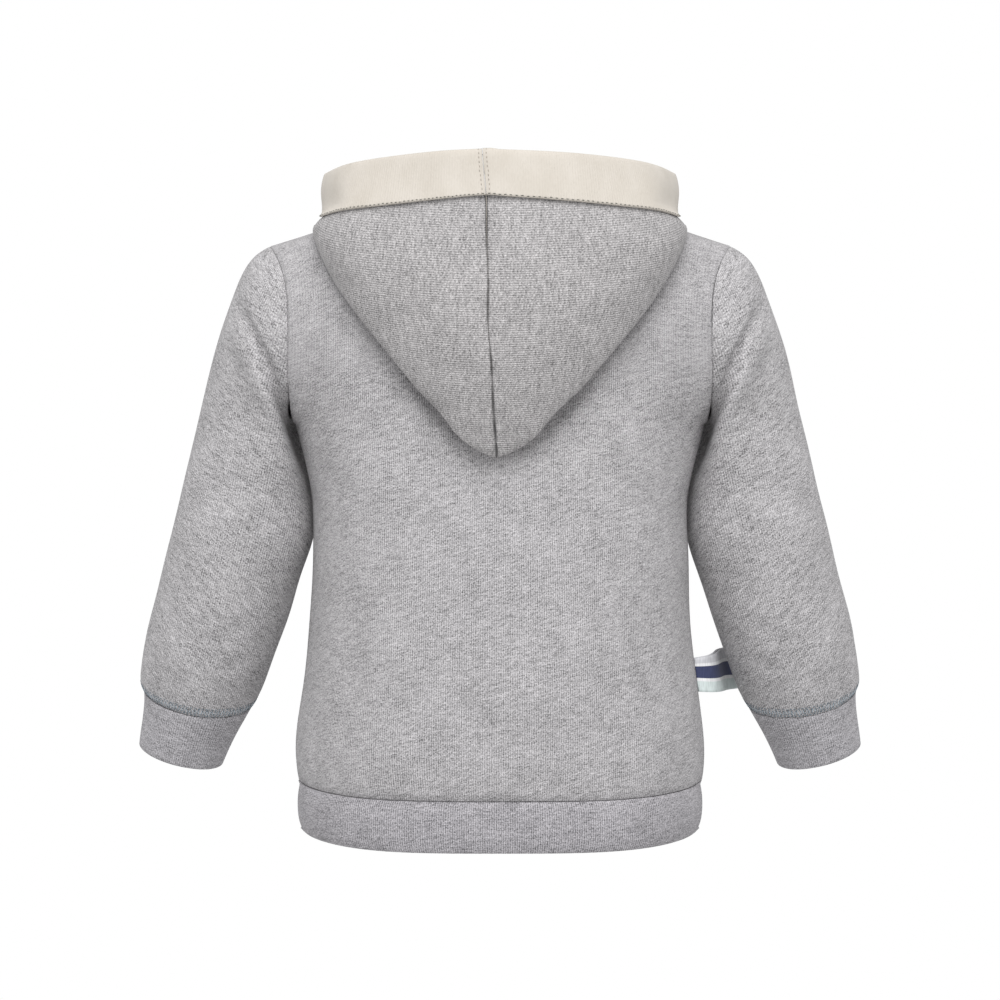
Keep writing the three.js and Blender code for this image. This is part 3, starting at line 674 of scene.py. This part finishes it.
body = {
    "centre": (0, 0, -180),
    "hemCentre": (0, 0, -358),
    "swell": (0.45, 70, 5),     # height and size in mm, and seed
    "seamZ": -344.2,
    "seamClose": 0.28,          # the hem band reaches up into its seam
    "seamCloseFrom": -348.5,
    "seamSink": 0.7,
    "panelReach": 3.5,          # how far from the seam the panels and the hem band sink
    "hemReach": 1.6,
    "shoulderX": 123.4,         # from here outwards the shoulder seam is drawn shut
    "shoulderZ": -44,           # and only above this
    "shoulderClose": 1.15,
    "folds": [
        {"path": [(52, -104), (42, -116), (32, -128), (22, -138), (13, -145)], "halfWidth": 5, "depth": 3.4},
        {"path": [(117, -84), (118.5, -104), (118, -126), (116, -150), (115, -176)],
         "halfWidth": 9, "depth": -2.2},
        {"path": [(112, -146), (96, -166), (72, -182)], "halfWidth": 6, "depth": 0.9},
        {"path": [(114, -168), (102, -186), (88, -212)], "halfWidth": 6, "depth": 0.7},
        {"path": [(84, -206), (86, -250), (90, -306)], "halfWidth": 8, "depth": 0.8},
        {"path": [(30, -302), (36, -322), (38, -341)], "halfWidth": 4.5, "depth": 0.6},
        {"path": [(66, -300), (71, -322), (75, -341)], "halfWidth": 4.5, "depth": 0.8},
        {"path": [(53, -318), (55, -330), (57, -343)], "halfWidth": 3.5, "depth": 0.6},
        {"path": [(104, -286), (106, -312), (108, -340)], "halfWidth": 5, "depth": 1.1},
        {"path": [(92, -322), (94, -333), (96, -344)], "halfWidth": 3.5, "depth": 0.7},
    ],
    "leftOnly": [
        {"path": [(0, -146), (0, -158)], "halfWidth": 9, "depth": -1.8},
        {"path": [(12, -316), (15, -330), (16, -343)], "halfWidth": 4, "depth": 0.5},
        {"path": [(60, -228), (52, -252), (40, -270)], "halfWidth": 9, "depth": 0.5},
    ],
    "rightOnly": [
        {"path": [(-8, -308), (-12, -326), (-13, -343)], "halfWidth": 4, "depth": 0.5},
        {"path": [(-46, -214), (-58, -236), (-66, -262)], "halfWidth": 9, "depth": 0.6},
    ],
    "front": [
        {"path": [(70, -40), (58, -66), (40, -84)], "halfWidth": 6, "depth": 0.9, "side": -1},
        {"path": [(24, -92), (14, -104), (-6, -108)], "halfWidth": 7, "depth": 0.6, "side": -1},
        {"path": [(108, -132), (84, -160), (56, -176)], "halfWidth": 7, "depth": 1.0, "side": -1},
        {"path": [(-112, -150), (-90, -172), (-64, -182)], "halfWidth": 7, "depth": 1.0, "side": -1},
        {"path": [(88, -230), (86, -270), (90, -312)], "halfWidth": 8, "depth": 0.9, "side": -1},
        {"path": [(-84, -222), (-88, -268), (-86, -316)], "halfWidth": 8, "depth": 0.8, "side": -1},
        {"path": [(42, -304), (46, -324), (48, -342)], "halfWidth": 4.5, "depth": 0.8, "side": -1},
        {"path": [(-30, -300), (-34, -322), (-38, -342)], "halfWidth": 4.5, "depth": 0.7, "side": -1},
        {"path": [(-64, -308), (-68, -326), (-70, -342)], "halfWidth": 4, "depth": 0.8, "side": -1},
        {"path": [(4, -314), (2, -328), (3, -343)], "halfWidth": 4, "depth": 0.5, "side": -1},
    ],
}


def closeShoulder(piece):
    # the two panels meet along the outer end of the shoulder seam
    co = points(piece)
    outer = numpy.clip((numpy.abs(co[:, 0]) - body["shoulderX"]) / 14, 0, 1)
    above = numpy.clip((co[:, 2] - body["shoulderZ"]) / 10, 0, 1)
    near = numpy.clip(1.2 - numpy.abs(co[:, 1]) / 7, 0, 1)
    co[:, 1] -= numpy.sign(co[:, 1]) * body["shoulderClose"] * outer * above * near
    moveTo(piece, co)


backPanel = clothPiece("backPanel", "back_panel", body["centre"], ["jersey"] * 2)
frontPanel = clothPiece("frontPanel", "front_panel", body["centre"], ["jersey"] * 2)
hemBand = clothPiece("hemBand", "hem_band", body["hemCentre"], ["ribBand"] * 2)
bodyFolds = onBothSides(body["folds"]) + body["leftOnly"] + body["rightOnly"] + body["front"]
for piece in (backPanel, frontPanel):
    closeShoulder(piece)
    addFolds(piece, bodyFolds, lambda co: co[:, 1])
    addUnevenness(piece, *body["swell"])
    storeKnit(piece, overBody)
co = points(hemBand)
co[:, 2] += body["seamClose"] * numpy.clip((co[:, 2] - body["seamCloseFrom"]) / 4, 0, 1)
moveTo(hemBand, co)
for piece in (backPanel, frontPanel, hemBand):
    co = points(piece)
    reach = body["hemReach"] if piece is hemBand else body["panelReach"]
    sink = body["seamSink"] * numpy.exp(-numpy.abs(co[:, 2] - body["seamZ"]) / reach)
    moveTo(piece, co - unitOutward(piece) * sink[:, None])
storeKnit(hemBand, aroundBody)
print("body ready")


sleeves = {
    "axis": [(96, 0, 12), (119, 0, -52), (134, -2, -90), (143, -11, -128), (150, -13, -168), (161, -14, -211),
             (172, -19, -250), (182, -25, -282), (190, -31, -304), (199, -41, -335), (206, -49, -360)],
    "centre": (160, 0, -180),
    "cuffCentre": (195, -35, -315),
    "radius": 35,
    "cuffRadius": 27,
    "cuffLift": 2.8,            # how much shorter the cuff is at its end, growing from here down
    "cuffLiftFrom": -312,
    "swell": (0.35, 50, 9),
    "wristPuckers": (0.8, 7, 13, 3),    # height, reach and size in mm, and seed
    "armholeAbove": -200,
    "folds": [
        {"path": [(153, -62), (145, -78), (136.5, -94), (130.5, -108), (125, -124), (121, -140), (117, -158)],
         "halfWidth": 3.6, "depth": 6.0},
        {"path": [(158, -74), (149, -88), (140, -104), (132.5, -122), (127, -140)],
         "halfWidth": 5.5, "depth": -3.4},
        {"path": [(132, -60), (127, -84), (126, -100)], "halfWidth": 5, "depth": -0.8},
        {"path": [(176, -284), (168, -288), (158, -294)], "halfWidth": 2.6, "depth": 1.0},
        {"path": [(150, -268), (160, -276), (170, -278)], "halfWidth": 4, "depth": 0.9},
        {"path": [(140, -236), (152, -250), (168, -262)], "halfWidth": 6, "depth": 0.9},
        {"path": [(134, -214), (146, -232), (160, -240)], "halfWidth": 6, "depth": 0.7},
        {"path": [(214, -262), (206, -276), (194, -284)], "halfWidth": 4, "depth": 0.8},
        {"path": [(186, -278), (188, -286), (189, -292)], "halfWidth": 3, "depth": 0.6},
        {"path": [(170, -150), (160, -176), (146, -200)], "halfWidth": 8, "depth": 0.6},
        {"path": [(196, -200), (186, -224), (176, -240)], "halfWidth": 8, "depth": 0.6},
        {"path": [(123, -118), (120, -138), (118, -156), (114, -186)],
         "halfWidth": 8, "depth": -3.4, "side": -1},
        {"path": [(148, -60), (140, -80), (132, -104)], "halfWidth": 5, "depth": 1.6, "side": -1},
        {"path": [(120, -160), (140, -176), (164, -186)], "halfWidth": 6, "depth": 1.3, "side": -1},
        {"path": [(122, -182), (144, -198), (172, -204)], "halfWidth": 6, "depth": 1.4, "side": -1},
        {"path": [(132, -212), (150, -224), (180, -226)], "halfWidth": 6, "depth": 1.2, "side": -1},
        {"path": [(146, -250), (160, -260), (182, -258)], "halfWidth": 5, "depth": 1.0, "side": -1},
        {"path": [(160, -282), (174, -286), (190, -280)], "halfWidth": 4, "depth": 0.9, "side": -1},
    ],
}


def behindSleeve(co):
    # how far a place is behind the sleeve's own axis
    heights = [-z for _, _, z in sleeves["axis"]]
    forward = numpy.interp(-co[:, 2], heights, [-y for _, y, _ in sleeves["axis"]])
    return co[:, 1] + forward


def armhole(side, sign):
    # the runs of the sleeve's upper edge
    runs = outerRuns(f"sleeve_{side}", onSide(sleeves["centre"], sign))
    lowest = sleeves["armholeAbove"] * mm
    return [run for run in runs if sum(at.z for at, _, _ in run) / len(run) > lowest]


def sleeveAndCuff(side, sign):
    cap = side.capitalize()
    sleeve = clothPiece(f"sleeve{cap}", f"sleeve_{side}", onSide(sleeves["centre"], sign),
                        ["sleeveCloth"] * 2, 3)
    cuff = clothPiece(f"cuff{cap}", f"cuff_{side}", onSide(sleeves["cuffCentre"], sign),
                      ["cuffCloth"] * 2)
    co = points(cuff)
    co[:, 2] += sleeves["cuffLift"] * numpy.clip((sleeves["cuffLiftFrom"] - co[:, 2]) / 30, 0, 1)
    moveTo(cuff, co)
    folds = [{**f, "path": [(sign * x, z) for x, z in f["path"]]} for f in sleeves["folds"]]
    markSeam(sleeve, armhole(side, sign))
    addFolds(sleeve, folds, behindSleeve)
    addUnevenness(sleeve, *sleeves["swell"])
    for piece, radius in ((sleeve, sleeves["radius"]), (cuff, sleeves["cuffRadius"])):
        storeKnit(piece, aroundAxis(sleeves["axis"], radius), 2 * math.pi * radius)
    return sleeve, cuff


sleeveLeft, cuffLeft = sleeveAndCuff("left", 1)
sleeveRight, cuffRight = sleeveAndCuff("right", -1)
print("sleeves ready")


hood = {
    "centre": (30, 40, -20),
    "bandCentre": (30, 20, 0),
    "seamShift": 9.0,           # at the face edge the centre seam lies to the wearer's left
    "seamShiftFoot": 2.4,       # and less so at the tip
    "footZ": -150,
    "topZ": 15,
    "spread": 34,               # how far round the shift fades out
    "backFrom": 64,             # Y from which the cloth takes part in it
    "nip": 4.8,                 # how far it is nipped in, at what height and beyond what X,
                                # and how far up and down that reaches
    "nipZ": -9,
    "nipX": 82,
    "nipUp": 12,
    "nipDown": 5,
    "waist": 2.8,               # the sides run straight to the tip
    "waistZ": -128,
    "foldsFrom": 82,            # Y behind which folds show on the hood, and on the band
    "bandFoldsFrom": 60,
    "puckers": (2.2, 1.7, 11, 4),   # height, reach and size in mm, and seed
    "seamRidge": {"path": [(-3.6, 24), (-3.6, -20)], "halfWidth": 3.2, "depth": -0.9},
    "folds": [
        {"path": [(60, -16), (64, -44), (56, -72)], "halfWidth": 9, "depth": 0.9},
        {"path": [(30, -20), (36, -56), (34, -88)], "halfWidth": 9, "depth": 0.6},
        {"path": [(-34, -18), (-40, -50), (-38, -84)], "halfWidth": 9, "depth": 0.7},
        {"path": [(-70, -18), (-72, -40), (-62, -66)], "halfWidth": 8, "depth": 0.9},
        {"path": [(14, -60), (12, -100), (8, -136)], "halfWidth": 7, "depth": 0.5},
    ],
}


def hoodShape(co):
    # the middle of the hood leans to one side, while what lies against the neck stays;
    # the cloth is nipped in under the band's sides and drawn straight towards the tip
    height = numpy.clip((co[:, 2] - hood["footZ"]) / (hood["topZ"] - hood["footZ"]), 0, 1)
    lean = hood["seamShiftFoot"] + (hood["seamShift"] - hood["seamShiftFoot"]) * height ** 0.8
    wave = 0.5 * numpy.sin(co[:, 2] / 17) + 0.3 * numpy.sin(co[:, 2] / 7.3)
    fade = numpy.exp(-(co[:, 0] / hood["spread"]) ** 2) * numpy.clip((co[:, 1] - hood["backFrom"]) / 12, 0, 1)
    above = co[:, 2] - hood["nipZ"]
    width = numpy.where(above > 0, hood["nipUp"], hood["nipDown"])
    side = numpy.clip((numpy.abs(co[:, 0]) - hood["nipX"]) / 20, 0, 1)
    nip = hood["nip"] * numpy.exp(-(above / width) ** 2) * eased(side)
    waist = numpy.exp(-((co[:, 2] - hood["waistZ"]) / 10) ** 2)
    waist *= numpy.clip((numpy.abs(co[:, 0]) - 14) / 12, 0, 1)
    moved = co.copy()
    moved[:, 0] += (lean + wave) * fade - numpy.sign(co[:, 0]) * (nip + hood["waist"] * waist)
    return moved


def hoodHalf(side, sign):
    cap = side.capitalize()
    centre, bandCentre = onSide(hood["centre"], sign), onSide(hood["bandCentre"], sign)
    half = clothPiece(f"hood{cap}", f"hood_{side}", centre, ["hoodCloth", "cream"])
    band = clothPiece(f"hoodBand{cap}", f"hood_band_{side}", bandCentre, ["cream", "cream"])
    # of the longest runs of its edge, the centre seam lies furthest back
    runs = outerRuns(f"hood_{side}", centre)[:4]
    seam = max(runs, key=lambda run: sum(at.y for at, _, _ in run) / len(run))
    markSeam(half, [seam])
    addFolds(half, hood["folds"], lambda co: co[:, 1] - hood["foldsFrom"])
    if sign < 0:
        addFolds(band, [hood["seamRidge"]], lambda co: co[:, 1] - hood["bandFoldsFrom"])
    addPuckers(half, seam, *hood["puckers"])
    for piece in (half, band):
        moveTo(piece, hoodShape(points(piece)))
    storeKnit(half, hoodGrain)
    storeKnit(band, bandGrain)
    return half, band


hoodLeft, bandLeft = hoodHalf("left", 1)
hoodRight, bandRight = hoodHalf("right", -1)
print("hood ready")


tab = clothPiece("ribbonTab", "side_tab", ribbon["centre"], ["ribbon"] * 2)
low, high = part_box("side_tab")
height = tab.data.attributes.new("height", "FLOAT", "POINT")
share = (points(tab)[:, 2] * mm - low.z) / (high.z - low.z)
tilt = ribbon["tilt"] * (ribbon["tiltX"] - points(tab)[:, 0])
lower = (ribbon["tiltEnd"] - share) / (ribbon["tiltEnd"] - ribbon["tiltFull"])
height.data.foreach_set("value", share + tilt * numpy.clip(lower, 0, 1))
moveTo(tab, points(tab) - [0, 0, ribbon["drop"]])


def surfaceOf(obj):
    return BVHTree.FromPolygons([v.co for v in obj.data.vertices], [p.vertices for p in obj.data.polygons])


def layStitch(bm, surface, start, end, width, height):
    # one stitch between two places, lying on the cloth
    a, normalA, _, _ = surface.find_nearest(start)
    b, normalB, _, _ = surface.find_nearest(end)
    up = (normalA + normalB).normalized()
    ahead = (b - a).normalized()
    aside = up.cross(ahead).normalized()
    turn = Matrix((ahead, aside, ahead.cross(aside))).transposed().to_4x4()
    size = Matrix.Diagonal(((b - a).length, width * mm, height * mm, 1))
    middle = Matrix.Translation((a + b) / 2 + up * (height * 0.2 * mm))
    bmesh.ops.create_uvsphere(bm, u_segments=6, v_segments=4, radius=0.5, matrix=middle @ turn @ size)


def sewRows(name, obj, run, rows, thread, shape=None):
    # rows of stitches beside an edge; inset is how far in a row lies, slant how far a stitch crosses;
    # shape is what has moved the cloth since its solid
    surface = surfaceOf(obj)
    bm = bmesh.new()
    for row in rows:
        step = row["spacing"] * mm
        for number, (place, ahead, inward) in enumerate(alongRun(run, step, 0.3 * step)):
            stray = 0.12 * math.sin(number * 2.4) + 0.08 * math.sin(number * 5.3)
            across = row.get("slant", 0) * (1 if number % 2 else -1)
            foot = place + inward * ((row["inset"] + stray - across / 2) * mm)
            head = foot + ahead * (row["length"] * mm) + inward * (across * mm)
            if shape:
                foot, head = (Vector(at) for at in shape(numpy.array([foot, head]) / mm) * mm)
            layStitch(bm, surface, foot, head, row["width"], row["width"] * 0.8)
    sewn = makeObject(name, bm)
    for polygon in sewn.data.polygons:
        polygon.use_smooth = True
    sewn.data.materials.append(materials[thread])
    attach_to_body(sewn, "root")
    print("sewn", name, len(sewn.data.polygons))


sewing = {
    "bandEdge": [{"inset": 0.65, "spacing": 2.7, "length": 1.5, "width": 0.5}],
    "bandSeam": [{"inset": 2.0, "spacing": 2.5, "length": 1.5, "width": 0.45}],
    "coverStitch": [
        {"inset": 0.9, "spacing": 2.2, "length": 1.6, "width": 0.55},
        {"inset": 6.3, "spacing": 2.2, "length": 1.6, "width": 0.5},
        {"inset": 2.3, "spacing": 2.0, "length": 1.0, "width": 0.5, "slant": 1.9},
        {"inset": 4.8, "spacing": 2.3, "length": 1.2, "width": 0.5, "slant": 1.9},
    ],
    "paleStitch": [{"inset": 3.5, "spacing": 1.7, "length": 0.8, "width": 0.6, "slant": 3.2}],
}
for side, sign, band, sleeve in (("left", 1, bandLeft, sleeveLeft), ("right", -1, bandRight, sleeveRight)):
    cap = side.capitalize()
    runs = outerRuns(f"hood_band_{side}", onSide(hood["bandCentre"], sign))
    sewRows(f"bandStitches{cap}", band, runs[0], sewing["bandEdge"], "darkThread", hoodShape)
    backSeam = max(runs[2:], key=lambda run: run[0][0].y)
    sewRows(f"bandSeamStitches{cap}", band, backSeam, sewing["bandSeam"], "creamThread", hoodShape)
    runs = outerRuns(f"sleeve_{side}", onSide(sleeves["centre"], sign))
    wrist = min(runs, key=lambda run: run[0][0].z)
    addPuckers(sleeve, wrist, *sleeves["wristPuckers"])
    sewRows(f"cuffStitches{cap}", sleeve, wrist, sewing["coverStitch"], "tealThread")
    sewRows(f"cuffLoops{cap}", sleeve, wrist, sewing["paleStitch"], "paleThread")
print("sewing ready")


studio = {
    "floorZ": -1500,
    "floorHalf": 2400,
    # light of the surroundings by height, from straight below (0) to straight above (1)
    "surround": [(0.0, 0.25), (0.27, 0.3), (0.33, 1.0), (0.66, 1.0), (0.74, 0.4), (1.0, 0.4)],
    "eye": (0, 1000, -176),
    "lens": 60,
    "keyLight": {"place": (0, 1300, 1300), "aim": (0, 0, -180), "size": (1600, 1200), "power": 40},
}


def studioFloor():
    bm = bmesh.new()
    bmesh.ops.create_grid(bm, x_segments=1, y_segments=1, size=studio["floorHalf"] * mm,
                          matrix=Matrix.Translation((0, 0, studio["floorZ"] * mm)))
    floor = makeObject("studioFloor", bm)
    material, shader, _ = newMaterial("paleFloor", roughness=0.9, sheen=0)
    shader.inputs["Base Color"].default_value = (0.99, 0.99, 0.99, 1)
    floor.data.materials.append(material)


def studioWorld():
    # white walls all round, a dimmer ceiling and floor
    world = bpy.data.worlds.new("studioWorld")
    world.use_nodes = True
    tree = world.node_tree
    direction = Wire(tree.nodes.new("ShaderNodeTexCoord").outputs["Generated"])
    upward = direction.add("ShaderNodeSeparateXYZ", {}, {0: direction}, out=2)
    stops = [(place, (value,) * 3) for place, value in studio["surround"]]
    height = 0.5 + 0.5 * upward
    light = height.add("ShaderNodeValToRGB", {"stops": stops}, {"Fac": height})
    tree.links.new(light.socket, tree.nodes["Background"].inputs["Color"])
    bpy.context.scene.world = world


def softLight(name, place, aim, size, power):
    lamp = bpy.data.lights.new(name, "AREA")
    lamp.shape = "RECTANGLE"
    lamp.size, lamp.size_y = (s * mm for s in size)
    lamp.energy = power
    obj = bpy.data.objects.new(name, lamp)
    obj.location = Vector(place) * mm
    obj.rotation_euler = (Vector(aim) - Vector(place)).to_track_quat("-Z", "Y").to_euler()
    bpy.context.scene.collection.objects.link(obj)


studioFloor()
softLight("keyLight", **studio["keyLight"])
studioWorld()
bpy.context.scene.view_settings.view_transform = "Standard"

camera = bpy.data.objects.new("camera", bpy.data.cameras.new("camera"))
camera.data.lens = studio["lens"]
camera.data.sensor_width = 36
camera.location = Vector(studio["eye"]) * mm
camera.rotation_euler = (math.radians(90), 0, math.radians(180))
bpy.context.scene.collection.objects.link(camera)
bpy.context.scene.camera = camera
print("studio ready")
